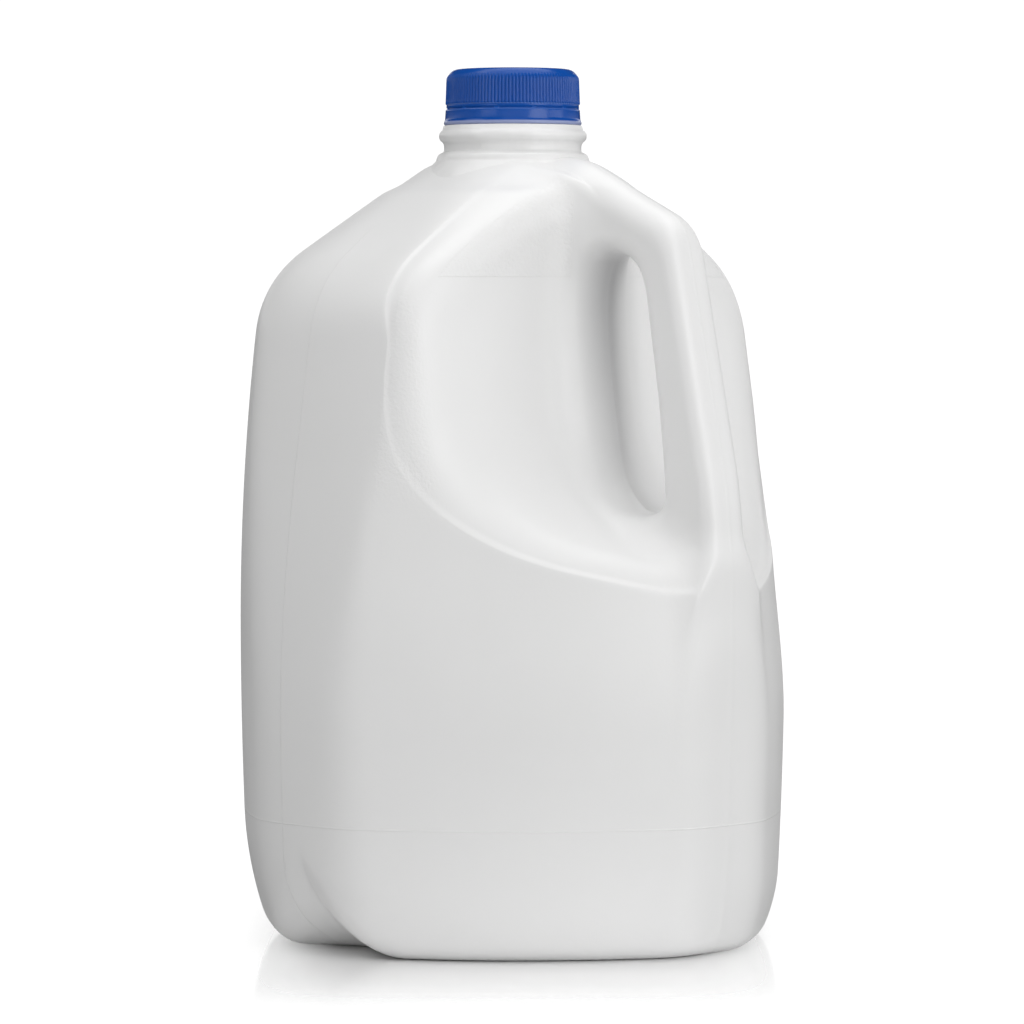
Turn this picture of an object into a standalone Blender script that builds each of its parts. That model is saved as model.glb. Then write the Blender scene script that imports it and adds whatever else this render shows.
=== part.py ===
"""One-gallon plastic jug with a moulded corner handle and a ribbed screw cap.

Frame: +Z up, +X towards the corner that carries the handle, origin at the
middle of the standing face.  The jug parts along the XZ plane and its two
grips are alike across that plane.  The sizes below are in millimetres and
MM turns them into metres where a mesh is made.
"""
import math

import bmesh
import bpy
import numpy as np

MM = 0.001

# Body: four bowed walls, four corner facets and a pyramid roof
WALL_REACH = 80.9            # axis to the middle of a wall at its widest level
WIDEST_LEVEL = 92.9
WALL_CLOSING_ABOVE = 1565.0  # the wall draws in by (height above widest)^2 / this
WALL_CLOSING_BELOW = 2926.0
WALL_BOW = 0.0031            # a wall falls back by this x (distance from its middle)^2
WALL_BLEND = 10.0
WALL_EASE = 3.6              # the walls beside the handle ease back below the grip
EASE_LEVEL = 64.0
EASE_HEIGHT = 56.0
EASE_X = 15.0
EASE_WIDTH = 35.0
CORNER_REACH = 87.5          # axis to a plain corner facet
CORNER_BOW = 0.0032          # a corner facet falls back as a wall does
CORNER_LEAN_LEVEL = 97.9
CORNER_LEAN = 0.15
CORNER_LEAN_BLEND = 40.0
HANDLE_CORNER_REACH = 88.4
BEVEL_AZIMUTH = 19.5         # a bevel on each side of the handle's foot, in degrees from +X
BEVEL_TILT = 5.2             # and tilted up by this
BEVEL_REACH = 95.6
FACET_BLEND = 3.0
ROOF_LEVEL = 206.0           # height of the roof at ROOF_REACH from the axis
ROOF_REACH = 57.8
ROOF_SLOPE = 0.718
ROOF_CORNER_DROP = 3.0
ROOF_BLEND = 8.0
EAVE_BLEND = 11.5
ROOF_STEP = 1.0              # the roof is lower by this within ROOF_STEP_REACH of the axis
ROOF_STEP_REACH = 38.0
ROOF_STEP_WIDTH = 3.5
NECK_SEAT_LEVEL = 228.8
NECK_SEAT_BLEND = 2.0

# Grip: the body wall behind the handle, the ledge below it and the rim round both
GRIP_WALL = 36.6
GRIP_WALL_LEVEL = 182.9
GRIP_WALL_LEAN = 0.165
GRIP_WALL_BLEND = 24.0
GRIP_TOP_LEVEL = 190.0       # above this the wall leans towards the handle
GRIP_TOP_LEAN = 0.08
GRIP_WALL_DRAFT = 0.03
GRIP_NOSE = 3.0              # rounding of the draft on the parting plane
NOSE_DEPTH = 3.8             # the wall falls back from a rounded nose by this
NOSE_WIDTH = 6.0
LEDGE_HEIGHT = 153.3
LEDGE_FALL_X = 0.51
LEDGE_FALL_Y = 0.089
LEDGE_FILLET = 12.0          # on the parting plane, widening to the sides
SIDE_LEDGE_FILLET = 24.0
SIDE_FILLET_REACH = 25.0
RIM_X = 24.3
RIM_HEIGHT = 135.8
RIM_FALL = 0.37
RIM_CORNER = 42.0
RIM_LEAN = 4.2               # the rim's upright part steps back by this
RIM_LEAN_LEVEL = 174.0
RIM_LEAN_HEIGHT = 18.0
MARGIN_STEP = 0.4            # the grip's surface lies this far below the wall at its rim
MARGIN_FADE_LEVEL = 214.9
MARGIN_FADE = 14.0
MARGIN_BLEND = 0.9
GRIP_EDGE_BLEND = 8.0

# Handle: a web across the parting plane, between its spine, crest and opening
HANDLE_HALF_WIDTH = 8.0
HANDLE_EDGE = 5.0
HANDLE_ROOT_X = 20.0
HANDLE_FOOT_LEVEL = 60.0
HANDLE_JOIN = 13.0           # fillet of the handle to the body
HULL_BLEND = 3.0             # the same along crest and spine
HULL_SLACK = 0.6             # how far the fillet may swell past them
SPINE_REACH = 88.0
SPINE_LEVEL = 127.9
SPINE_LEAN = 0.215
SPINE_BLEND = 14.0
SPINE_SINK_LEVEL = 106.0
SPINE_SINK = 0.3
CREST_LEVEL = 229.5          # height of the crest at CREST_X
CREST_X = 29.0
CREST_FALL = 0.455
CREST_TOP = 229.2            # the crest levels off here beside the collar
CREST_TOP_BLEND = 3.0
CREST_CROWN = 0.055          # the crest falls to both sides by this x y^2
CREST_CORNER = 6.0
OPENING_INNER = 68.4
OPENING_LEVEL = 138.9
OPENING_LEAN = 0.165
OPENING_BLEND = 30.0
OPENING_TOP = 202.4
OPENING_BOTTOM = 120.5
OPENING_CORNER = 14.0
OPENING_BACK = 4.0           # the opening's outline runs on into the body by this
OPENING_CENTRE = (53.0, 164.0)

# Foot: a flat standing face, its rounded edge, a notch in two corners and a push-up
FOOT_EDGE = 5.0
PLAIN_FOOT_EDGE = 9.0        # away from the handle
TAPER_LEVEL = 20.0           # below this the walls draw in by TAPER x depth^2
TAPER = 0.011
PLAIN_TAPER_LEVEL = 38.0     # the same away from the handle
PLAIN_TAPER = 0.0044
TAPER_CHANGE = 50.0          # half the distance over which one passes into the other
NOTCH_HEIGHT = 24.5
NOTCH_START = 55.0
NOTCH_END = 86.0
NOTCH_WIDTH = 42.0
NOTCH_CURVE = 1.6            # how the notch rises outwards
NOTCH_SPREAD = 0.6           # how it widens outwards
NOTCH_SHARPNESS = 1.8        # how it falls away to its sides
LEAST_OUT = 1.0e-4
PUSH_UP_RADIUS = 54.0
PUSH_UP_HEIGHT = 3.0

# Lofting: sections fan round the opening like the pages of an open book
PAGES = 240
POINTS_ACROSS = 66           # on each side of the parting plane
TRACE_POINTS = 500
TURN_SHARE = 0.35            # how far the points gather where a section bends
SEARCH_REACH = 260.0
BISECTIONS = 26
SETTLE_STEPS = 3
SETTLE_REACH = 0.01
LEAST_SLOPE = 0.05           # keeps a settling step short where the field is flat
KEPT_TRIANGLES = 0.11        # share of the fine loft that the solid keeps

# Neck: finish under the cap, transfer bead, waist and the collar on the roof
TURN_STEPS = 52
FINISH_TOP = 254.7
FINISH_RADIUS = 18.1
FINISH_EDGE = 0.7
FINISH_FOOT = 239.6
SEAT_RADIUS = 20.6
SEAT_LEVEL = 239.2
BEAD_LEVEL = 236.7
BEAD_REACH = 22.1
BEAD_RADIUS = 1.9
BEAD_TURN = 62.0             # the bead's arc ends this many degrees above and below
BEAD_STEPS = 6
WAIST_RADIUS = 20.4
WAIST_TOP = 233.9
WAIST_FOOT = 231.9
COLLAR_RADIUS = 22.8
COLLAR_TOP = 231.0
COLLAR_FOOT = 229.4
COLLAR_BURIED = 226.0
SKIRT_RADIUS = 24.2          # where the collar runs into the roof
SKIRT_LEVEL = 228.4
NECK_PLUG_RADIUS = 20.0
NECK_PLUG_FOOT = 222.0

# Cap: rounded top, ribbed skirt, tear band and the hollow that fits over the neck
CAP_TOP = 256.5
CAP_FOOT = 239.9
CAP_EDGE = 3.1
CAP_EDGE_END = 8.0           # the rounded top edge ends this many degrees above level
CAP_EDGE_STEPS = 5
CAP_TOP_RADIUS = 19.5
CAP_SKIRT_RADIUS = 19.95
CAP_SKIRT_FOOT = 245.6
CAP_SCORE_LEVEL = 245.0
CAP_SCORE_HALF_HEIGHT = 0.6
CAP_SCORE_DEPTH = 0.45
CAP_BAND_FOOT = 241.4
CAP_BAND_RADIUS = 20.2
CAP_LIP_RADIUS = 20.5
CAP_LIP_LEVEL = 240.4
CAP_INNER = 18.6
CAP_MOUTH = 19.0
CAP_MOUTH_LEVEL = 241.2
CAP_CEILING = 1.4
CAP_CEILING_EDGE = 0.9

# Push-up cut
DOME_STEPS = 6
CUT_DEPTH = 4.0
CUT_MARGIN = 1.0

COLLECTION = "plastic jug"


def smooth_max(first, second, blend):
    """The larger of two fields, rounded off where they differ by less than blend."""
    overlap = np.maximum(blend - np.abs(first - second), 0.0)
    return np.maximum(first, second) + overlap**2 / (4.0 * blend)


def smooth_min(first, second, blend):
    return -smooth_max(-first, -second, blend)


def ramp(distance, blend):
    """Zero below, the distance itself above, with a rounded start."""
    return smooth_max(distance, np.zeros_like(distance), blend)


def smooth_step(value):
    value = np.clip(value, 0.0, 1.0)
    return value * value * (3.0 - 2.0 * value)


def bevel_field(x, y, z):
    """Planes that cut the corner facet off beside the handle's foot."""
    level, tilt = math.cos(math.radians(BEVEL_TILT)), math.sin(math.radians(BEVEL_TILT))
    turned_x, turned_y = math.cos(math.radians(BEVEL_AZIMUTH)), math.sin(math.radians(BEVEL_AZIMUTH))
    return level * (turned_x * x + turned_y * np.abs(y)) + tilt * z - BEVEL_REACH


def spine_x(z):
    """Reach of the handle's spine, which sinks into the corner facet at its foot."""
    spine = SPINE_REACH - SPINE_LEAN * ramp(z - SPINE_LEVEL, SPINE_BLEND)
    return spine - SPINE_SINK * ramp(SPINE_SINK_LEVEL - z, SPINE_BLEND)


def near_handle(x):
    """Share of the handle side's foot, from none at -X to all of it at +X."""
    return smooth_step(0.5 + 0.5 * x / TAPER_CHANGE)


def body_field(x, y, z):
    """Distance-like field of the plain body: walls, corner facets, roof and seat."""
    across = np.abs(x + y) / math.sqrt(2.0)
    along = np.abs(x - y) / math.sqrt(2.0)
    wall = smooth_max(across + WALL_BOW * along**2, along + WALL_BOW * across**2, WALL_BLEND)
    beside_handle = smooth_step((x - EASE_X) / EASE_WIDTH)
    wall = wall + WALL_EASE * beside_handle * smooth_step((z - EASE_LEVEL) / EASE_HEIGHT)
    rise = z - WIDEST_LEVEL
    closing = rise**2 / np.where(rise > 0.0, WALL_CLOSING_ABOVE, WALL_CLOSING_BELOW)
    share = near_handle(x)
    depth = np.clip(PLAIN_TAPER_LEVEL + (TAPER_LEVEL - PLAIN_TAPER_LEVEL) * share - z, 0.0, None)
    taper = (PLAIN_TAPER + (TAPER - PLAIN_TAPER) * share) * depth**2
    below = np.where(rise < 0.0, closing, 0.0) + taper
    corner_reach = CORNER_REACH - CORNER_LEAN * ramp(z - CORNER_LEAN_LEVEL, CORNER_LEAN_BLEND)
    facet_middle = np.minimum(np.abs(x), np.abs(y))
    plain_corner = np.maximum(-x, np.abs(y)) + CORNER_BOW * facet_middle**2 - (corner_reach - below)
    handle_corner = np.maximum(x - (HANDLE_CORNER_REACH - below), bevel_field(x, y, z))
    sides = smooth_max(wall - (WALL_REACH - closing - taper), plain_corner, FACET_BLEND)
    sides = smooth_max(sides, handle_corner, FACET_BLEND)
    corner = np.maximum(np.abs(x), np.abs(y)) + ROOF_CORNER_DROP
    reach = smooth_max(wall, corner, ROOF_BLEND)
    roof = (z - ROOF_LEVEL - (ROOF_REACH - reach) * ROOF_SLOPE) / math.hypot(1.0, ROOF_SLOPE)
    roof = roof + ROOF_STEP * smooth_step((ROOF_STEP_REACH - reach) / ROOF_STEP_WIDTH)
    shell = smooth_max(sides, roof, EAVE_BLEND)
    return smooth_max(shell, z - NECK_SEAT_LEVEL, NECK_SEAT_BLEND)


def grip_wall_x(z):
    """Where the body wall behind the handle stands on the parting plane."""
    foot = GRIP_WALL_LEAN * ramp(GRIP_WALL_LEVEL - z, GRIP_WALL_BLEND)
    return GRIP_WALL + foot + GRIP_TOP_LEAN * ramp(z - GRIP_TOP_LEVEL, GRIP_WALL_BLEND)


def gripped_field(body, x, y, z):
    """The body's field with the grip cut from both sides of the handle corner."""
    side = np.sqrt(y**2 + GRIP_NOSE**2) - GRIP_NOSE
    below_rim = (RIM_HEIGHT - RIM_FALL * x - z) / math.hypot(1.0, RIM_FALL)
    rim_x = RIM_X - RIM_LEAN * smooth_step((z - RIM_LEAN_LEVEL) / RIM_LEAN_HEIGHT)
    inside_rim = -smooth_max(rim_x - x, below_rim, RIM_CORNER)
    nose = NOSE_DEPTH * (1.0 - np.exp(-(y / NOSE_WIDTH) ** 2))
    past_wall = x - grip_wall_x(z) + GRIP_WALL_DRAFT * side + nose
    above_ledge = z - (LEDGE_HEIGHT - LEDGE_FALL_X * x - LEDGE_FALL_Y * side)
    above_ledge = above_ledge / math.hypot(1.0, LEDGE_FALL_X)
    widening = smooth_step(np.abs(y) / SIDE_FILLET_REACH)
    fillet = LEDGE_FILLET + (SIDE_LEDGE_FILLET - LEDGE_FILLET) * widening
    grip = smooth_min(past_wall, above_ledge, fillet)
    step = MARGIN_STEP * np.clip((MARGIN_FADE_LEVEL - z) / MARGIN_FADE, 0.0, 1.0)
    recess = smooth_max(body + step, grip, GRIP_EDGE_BLEND)
    return smooth_max(body, smooth_min(inside_rim, recess, MARGIN_BLEND), MARGIN_BLEND)


def opening_field(x, z):
    """Outline of the hand opening on the parting plane, negative inside it."""
    back = grip_wall_x(z) - OPENING_BACK
    inner = OPENING_INNER - OPENING_LEAN * ramp(z - OPENING_LEVEL, OPENING_BLEND)
    sides = np.maximum(back - x, x - inner)
    ends = np.maximum(z - OPENING_TOP, OPENING_BOTTOM - z)
    return smooth_max(sides, ends, OPENING_CORNER)


def handle_outline(x, y, z):
    """The handle's spine and crest, carried on across the parting plane."""
    falling = CREST_LEVEL - CREST_FALL * (x - CREST_X)
    crest = smooth_min(falling, np.full_like(x, CREST_TOP), CREST_TOP_BLEND)
    crest = crest - CREST_CROWN * np.minimum(np.abs(y), HANDLE_HALF_WIDTH) ** 2
    past_spine = (x - spine_x(z)) / math.hypot(1.0, SPINE_LEAN)
    over_crest = (z - crest) / math.hypot(1.0, CREST_FALL)
    outline = smooth_max(past_spine, over_crest, CREST_CORNER)
    return np.maximum(outline, np.maximum(HANDLE_ROOT_X - x, HANDLE_FOOT_LEVEL - z))


def foot_level(x, y):
    """Height of the underside: flat, but arched up towards the two side corners."""
    out = np.clip((np.abs(y) - NOTCH_START) / (NOTCH_END - NOTCH_START), LEAST_OUT, None)
    arch = np.clip(1.0 - np.abs(x) / (NOTCH_WIDTH * out**NOTCH_SPREAD), 0.0, None)
    return NOTCH_HEIGHT * out**NOTCH_CURVE * arch**NOTCH_SHARPNESS


def jug_field(x, y, z):
    """Negative inside the jug below its neck, positive outside, in millimetres.

    The handle is a web across the parting plane.  Its fillet to the body is held
    back to the hull of body and handle, so that it swells neither crest nor spine.
    """
    body = body_field(x, y, z)
    outline = handle_outline(x, y, z)
    web = np.maximum(outline, -opening_field(x, z))
    web = smooth_max(np.abs(y) - HANDLE_HALF_WIDTH, web, HANDLE_EDGE)
    joined = smooth_min(gripped_field(body, x, y, z), web, HANDLE_JOIN)
    hull = smooth_min(body, outline, HULL_BLEND)
    joined = smooth_max(joined, hull - HULL_SLACK, HULL_SLACK)
    edge = PLAIN_FOOT_EDGE + (FOOT_EDGE - PLAIN_FOOT_EDGE) * near_handle(x)
    return smooth_max(joined, foot_level(x, y) - z, edge)


def bisect(inside, outside, field):
    """Move two arrays of bounds, one inside and one outside, on to the surface."""
    for _ in range(BISECTIONS):
        middle = 0.5 * (inside + outside)
        solid = field(middle) < 0.0
        inside = np.where(solid, middle, inside)
        outside = np.where(solid, outside, middle)
    return 0.5 * (inside + outside)


def page_ends(directions):
    """Distance from the opening's centre to the jug's inner and outer edge on each page."""
    centre_x, centre_z = OPENING_CENTRE
    cosines, sines = directions

    def on_page(distance):
        return jug_field(centre_x + distance * cosines, 0.0 * distance, centre_z + distance * sines)

    steps = np.linspace(0.0, SEARCH_REACH, int(SEARCH_REACH) + 1)[:, None]
    solid = on_page(steps + 0.0 * cosines) < 0.0
    first = steps[np.argmax(solid, axis=0), 0]
    last = steps[len(steps) - 1 - np.argmax(solid[::-1], axis=0), 0]
    near = bisect(first, first - 1.0, on_page)
    far = bisect(last, last + 1.0, on_page)
    return near, far


def settle(points):
    """Move points on to the surface along the steepest way through the field."""
    x, y, z = points[..., 0], points[..., 1], points[..., 2]
    for _ in range(SETTLE_STEPS):
        slopes = []
        for shift in np.eye(3) * SETTLE_REACH:
            ahead = jug_field(x + shift[0], y + shift[1], z + shift[2])
            behind = jug_field(x - shift[0], y - shift[1], z - shift[2])
            slopes.append((ahead - behind) / (2.0 * SETTLE_REACH))
        move = jug_field(x, y, z) / np.maximum(sum(slope**2 for slope in slopes), LEAST_SLOPE)
        x, y, z = (place - move * slope for place, slope in zip((x, y, z), slopes))
    return np.stack([x, y, z], axis=-1)


def shares(amounts):
    """Running total of each column, from zero to one."""
    total = np.vstack([np.zeros(amounts.shape[1]), np.cumsum(amounts, axis=0)])
    return total / total[-1]


def half_sections(sign):
    """Points of every section on one side of the parting plane.

    A section runs from the opening's edge to the outer edge.  At each distance
    its depth is found by bisection, because the moulded form has one depth only.
    The points are then spread by the length and the bending of the section.
    """
    angles = 2.0 * math.pi * np.arange(PAGES) / PAGES
    cosines, sines = np.cos(angles), np.sin(angles)
    near, far = page_ends((cosines, sines))
    spread = 0.5 - 0.5 * np.cos(math.pi * np.linspace(0.0, 1.0, TRACE_POINTS))[:, None]
    distance = near + (far - near) * spread
    x = OPENING_CENTRE[0] + distance * cosines
    z = OPENING_CENTRE[1] + distance * sines
    reach = np.full_like(x, 2.0 * CORNER_REACH)
    depth = bisect(0.0 * x, reach, lambda y: jug_field(x, sign * y, z))
    depth[0] = 0.0
    depth[-1] = 0.0
    run, rise = np.diff(distance, axis=0), np.diff(depth, axis=0)
    bend = np.abs(np.diff(np.arctan2(rise, run), axis=0, append=0.5 * math.pi))
    bend[-1] = 0.0
    travelled = shares(np.hypot(run, rise)) + TURN_SHARE * shares(bend)
    travelled /= travelled[-1]
    wanted = np.linspace(0.0, 1.0, POINTS_ACROSS)
    points = np.empty((PAGES, POINTS_ACROSS, 3))
    for page in range(PAGES):
        points[page, :, 0] = np.interp(wanted, travelled[:, page], x[:, page])
        points[page, :, 1] = sign * np.interp(wanted, travelled[:, page], depth[:, page])
        points[page, :, 2] = np.interp(wanted, travelled[:, page], z[:, page])
    points[:, 1:-1] = settle(points[:, 1:-1])
    return points


def jug_mesh():
    """Closed loft of the sections: out along one side and back along the other."""
    near_side = half_sections(-1.0)
    far_side = half_sections(1.0)
    ring = np.concatenate([near_side, far_side[:, -2:0:-1]], axis=1)
    count = ring.shape[1]
    mesh = bmesh.new()
    verts = [[mesh.verts.new(point * MM) for point in page] for page in ring]
    for page in range(PAGES):
        following = (page + 1) % PAGES
        for place in range(count):
            beside = (place + 1) % count
            mesh.faces.new((verts[page][place], verts[page][beside],
                            verts[following][beside], verts[following][place]))
    bmesh.ops.triangulate(mesh, faces=mesh.faces[:])
    bmesh.ops.recalc_face_normals(mesh, faces=mesh.faces[:])
    data = bpy.data.meshes.new("jug")
    mesh.to_mesh(data)
    mesh.free()
    return data


def new_object(name, data, collection):
    obj = bpy.data.objects.new(name, data)
    collection.objects.link(obj)
    return obj


def turned(name, profile, collection):
    """A solid turned about the axis from (radius, height) points, top to bottom."""
    mesh = bpy.data.meshes.new(name)
    points = [(radius * MM, 0.0, height * MM) for radius, height in profile]
    mesh.from_pydata(points, [(i, i + 1) for i in range(len(points) - 1)], [])
    obj = new_object(name, mesh, collection)
    screw = obj.modifiers.new("turn", "SCREW")
    screw.axis = "Z"
    screw.steps = TURN_STEPS
    screw.render_steps = TURN_STEPS
    screw.use_merge_vertices = True
    screw.merge_threshold = 1.0e-6
    screw.use_smooth_shade = True
    return obj


def arc(centre, radius, start, end, steps):
    """Points of a circular arc, its angles in degrees from +X."""
    turn = [math.radians(start + (end - start) * i / steps) for i in range(steps + 1)]
    return [(centre[0] + radius * math.cos(t), centre[1] + radius * math.sin(t)) for t in turn]


def neck_profile():
    """Finish under the cap, transfer bead, waist and the collar on the roof."""
    finish = [(0.0, FINISH_TOP), (FINISH_RADIUS - FINISH_EDGE, FINISH_TOP)]
    finish += [(FINISH_RADIUS, FINISH_TOP - FINISH_EDGE), (FINISH_RADIUS, FINISH_FOOT)]
    bead_centre = (BEAD_REACH - BEAD_RADIUS, BEAD_LEVEL)
    bead = arc(bead_centre, BEAD_RADIUS, BEAD_TURN, -BEAD_TURN, BEAD_STEPS)
    waist = [(WAIST_RADIUS, WAIST_TOP), (WAIST_RADIUS, WAIST_FOOT)]
    collar = [(0.5 * (WAIST_RADIUS + COLLAR_RADIUS), COLLAR_TOP), (COLLAR_RADIUS, COLLAR_FOOT)]
    skirt = [(SKIRT_RADIUS, SKIRT_LEVEL), (SKIRT_RADIUS, COLLAR_BURIED)]
    plug = [(NECK_PLUG_RADIUS, NECK_PLUG_FOOT), (0.0, NECK_PLUG_FOOT)]
    return finish + [(SEAT_RADIUS, SEAT_LEVEL)] + bead + waist + collar + skirt + plug


def cap_profile():
    """Outer skirt with its tear band, then the hollow that fits over the neck."""
    edge_centre = (CAP_TOP_RADIUS - CAP_EDGE, CAP_TOP - CAP_EDGE)
    shoulder = arc(edge_centre, CAP_EDGE, 90.0, CAP_EDGE_END, CAP_EDGE_STEPS)
    skirt = [(CAP_SKIRT_RADIUS, CAP_SKIRT_FOOT)]
    score_radius = CAP_SKIRT_RADIUS - CAP_SCORE_DEPTH
    score = [(score_radius, CAP_SCORE_LEVEL), (CAP_SKIRT_RADIUS, CAP_SCORE_LEVEL - CAP_SCORE_HALF_HEIGHT)]
    band = [(CAP_BAND_RADIUS, CAP_BAND_FOOT), (CAP_LIP_RADIUS, CAP_LIP_LEVEL), (CAP_LIP_RADIUS, CAP_FOOT)]
    hollow = [(CAP_MOUTH, CAP_FOOT), (CAP_INNER, CAP_MOUTH_LEVEL)]
    ceiling_level = CAP_TOP - CAP_CEILING
    ceiling = [(CAP_INNER, ceiling_level - CAP_CEILING_EDGE)]
    ceiling += [(CAP_INNER - CAP_CEILING_EDGE, ceiling_level), (0.0, ceiling_level)]
    return [(0.0, CAP_TOP)] + shoulder + skirt + score + band + hollow + ceiling


def push_up_profile():
    """A shallow dome that lifts the middle of the underside clear of the ground."""
    turns = np.radians(np.linspace(0.0, 90.0, DOME_STEPS + 1))
    dome = [(PUSH_UP_RADIUS * math.sin(turn), PUSH_UP_HEIGHT * math.cos(turn) ** 2) for turn in turns]
    return dome + [(PUSH_UP_RADIUS + CUT_MARGIN, -CUT_DEPTH), (0.0, -CUT_DEPTH)]


def boolean(target, tool, operation, cutters):
    """Join or cut with a tool that stays hidden in the cutters' collection."""
    modifier = target.modifiers.new(tool.name, "BOOLEAN")
    modifier.operation = operation
    modifier.object = tool
    modifier.solver = "EXACT"
    tool.hide_render = True
    tool.display_type = "WIRE"
    for collection in list(tool.users_collection):
        collection.objects.unlink(tool)
    cutters.objects.link(tool)


def plastic(name, colour, roughness):
    material = bpy.data.materials.new(name)
    material.use_nodes = True
    shader = material.node_tree.nodes["Principled BSDF"]
    shader.inputs["Base Color"].default_value = (*colour, 1.0)
    shader.inputs["Roughness"].default_value = roughness
    shader.inputs["Metallic"].default_value = 0.0
    return material


def build_jug(parts, cutters):
    """The blow-moulded jug: lofted body and handle, turned neck, push-up cut away."""
    jug = new_object("jug", jug_mesh(), parts)
    jug.data.shade_smooth()
    thin_out = jug.modifiers.new("keep the bends", "DECIMATE")
    thin_out.ratio = KEPT_TRIANGLES
    boolean(jug, turned("neck tool", neck_profile(), parts), "UNION", cutters)
    boolean(jug, turned("push-up tool", push_up_profile(), parts), "DIFFERENCE", cutters)
    jug.data.materials.append(plastic("milky white plastic", (0.86, 0.87, 0.88), 0.42))
    return jug


def build_cap(parts):
    """The screw cap with its tear band."""
    cap = turned("cap", cap_profile(), parts)
    cap.data.materials.append(plastic("blue cap plastic", (0.012, 0.075, 0.36), 0.35))
    return cap


def clear_scene():
    for obj in list(bpy.data.objects):
        bpy.data.objects.remove(obj, do_unlink=True)


def main():
    clear_scene()
    parts = bpy.data.collections.new(COLLECTION)
    cutters = bpy.data.collections.new("cutters")
    bpy.context.scene.collection.children.link(parts)
    bpy.context.scene.collection.children.link(cutters)
    build_jug(parts, cutters)
    build_cap(parts)


main()
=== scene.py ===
"""Plastic jug, dressed: fine shells, moulded detail, finishes, studio and camera.

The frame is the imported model's: +Z up, +X towards the handle, metres.  The form
is worked out in millimetres and MM turns it into metres; finishes, camera and
lamps are given in metres.
"""
import math

import bpy
import numpy as np
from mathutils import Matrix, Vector


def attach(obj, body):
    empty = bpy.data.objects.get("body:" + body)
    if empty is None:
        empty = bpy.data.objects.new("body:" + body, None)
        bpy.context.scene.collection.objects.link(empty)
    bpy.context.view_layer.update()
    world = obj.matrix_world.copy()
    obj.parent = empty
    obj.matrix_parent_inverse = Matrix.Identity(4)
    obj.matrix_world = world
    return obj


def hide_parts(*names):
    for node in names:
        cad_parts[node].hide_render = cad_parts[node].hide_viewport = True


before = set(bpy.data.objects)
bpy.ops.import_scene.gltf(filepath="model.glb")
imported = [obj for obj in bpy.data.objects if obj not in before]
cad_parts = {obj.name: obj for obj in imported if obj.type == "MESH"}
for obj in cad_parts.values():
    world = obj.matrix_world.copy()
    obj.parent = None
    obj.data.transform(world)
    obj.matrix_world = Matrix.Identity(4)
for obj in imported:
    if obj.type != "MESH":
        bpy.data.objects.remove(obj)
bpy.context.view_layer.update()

MM = 0.001

# Body: four bowed walls, four corner facets and a pyramid roof
WALL_REACH = 80.9            # axis to the middle of a wall at its widest level
WIDEST_LEVEL = 92.9
WALL_CLOSING_ABOVE = 1565.0  # the wall draws in by (height above widest)^2 / this
WALL_CLOSING_BELOW = 2926.0
WALL_BOW = 0.0031            # a wall falls back by this x (distance from its middle)^2
WALL_BLEND = 10.0
WALL_EASE = 3.6              # the walls beside the handle ease back below the grip
EASE_LEVEL = 64.0
EASE_HEIGHT = 56.0
EASE_X = 15.0
EASE_WIDTH = 35.0
CORNER_REACH = 87.5          # axis to a plain corner facet
CORNER_BOW = 0.0032          # a corner facet falls back as a wall does
CORNER_LEAN_LEVEL = 97.9
CORNER_LEAN = 0.15
CORNER_LEAN_BLEND = 40.0
HANDLE_CORNER_REACH = 88.4
BEVEL_AZIMUTH = 19.5         # a bevel on each side of the handle's foot, in degrees from +X
BEVEL_TILT = 5.2             # and tilted up by this
BEVEL_REACH = 95.6
FACET_BLEND = 3.0
ROOF_LEVEL = 206.0           # height of the roof at ROOF_REACH from the axis
ROOF_REACH = 57.8
ROOF_SLOPE = 0.718
ROOF_CORNER_DROP = 3.0
ROOF_BLEND = 8.0
EAVE_BLEND = 11.5
ROOF_STEP = 1.0              # the roof is lower by this within ROOF_STEP_REACH of the axis
ROOF_STEP_REACH = 39.5
ROOF_STEP_WIDTH = 7.0
NECK_SEAT_LEVEL = 228.8
NECK_SEAT_BLEND = 2.0

# Grip: the body wall behind the handle, the ledge below it and the rim round both
GRIP_WALL = 36.6
GRIP_WALL_LEVEL = 182.9
GRIP_WALL_LEAN = 0.165
GRIP_WALL_BLEND = 24.0
GRIP_TOP_LEVEL = 190.0       # above this the wall leans towards the handle
GRIP_TOP_LEAN = 0.08
GRIP_WALL_DRAFT = 0.03
GRIP_NOSE = 3.0              # rounding of the draft on the parting plane
NOSE_DEPTH = 3.8             # the wall falls back from a rounded nose by this
NOSE_WIDTH = 6.0
LEDGE_HEIGHT = 153.3
LEDGE_FALL_X = 0.51
LEDGE_FALL_Y = 0.089
LEDGE_FILLET = 12.0          # on the parting plane, widening to the sides
SIDE_LEDGE_FILLET = 24.0
SIDE_FILLET_REACH = 25.0
RIM_X = 24.3
RIM_HEIGHT = 135.8
RIM_FALL = 0.37
RIM_CORNER = 42.0
RIM_LEAN = 4.2               # the rim's upright part steps back by this
RIM_LEAN_LEVEL = 174.0
RIM_LEAN_HEIGHT = 18.0
MARGIN_STEP = 0.4            # the grip's surface lies this far below the wall at its rim
MARGIN_FADE_LEVEL = 214.9
MARGIN_FADE = 14.0
MARGIN_BLEND = 0.9
GRIP_EDGE_BLEND = 8.0

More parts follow.
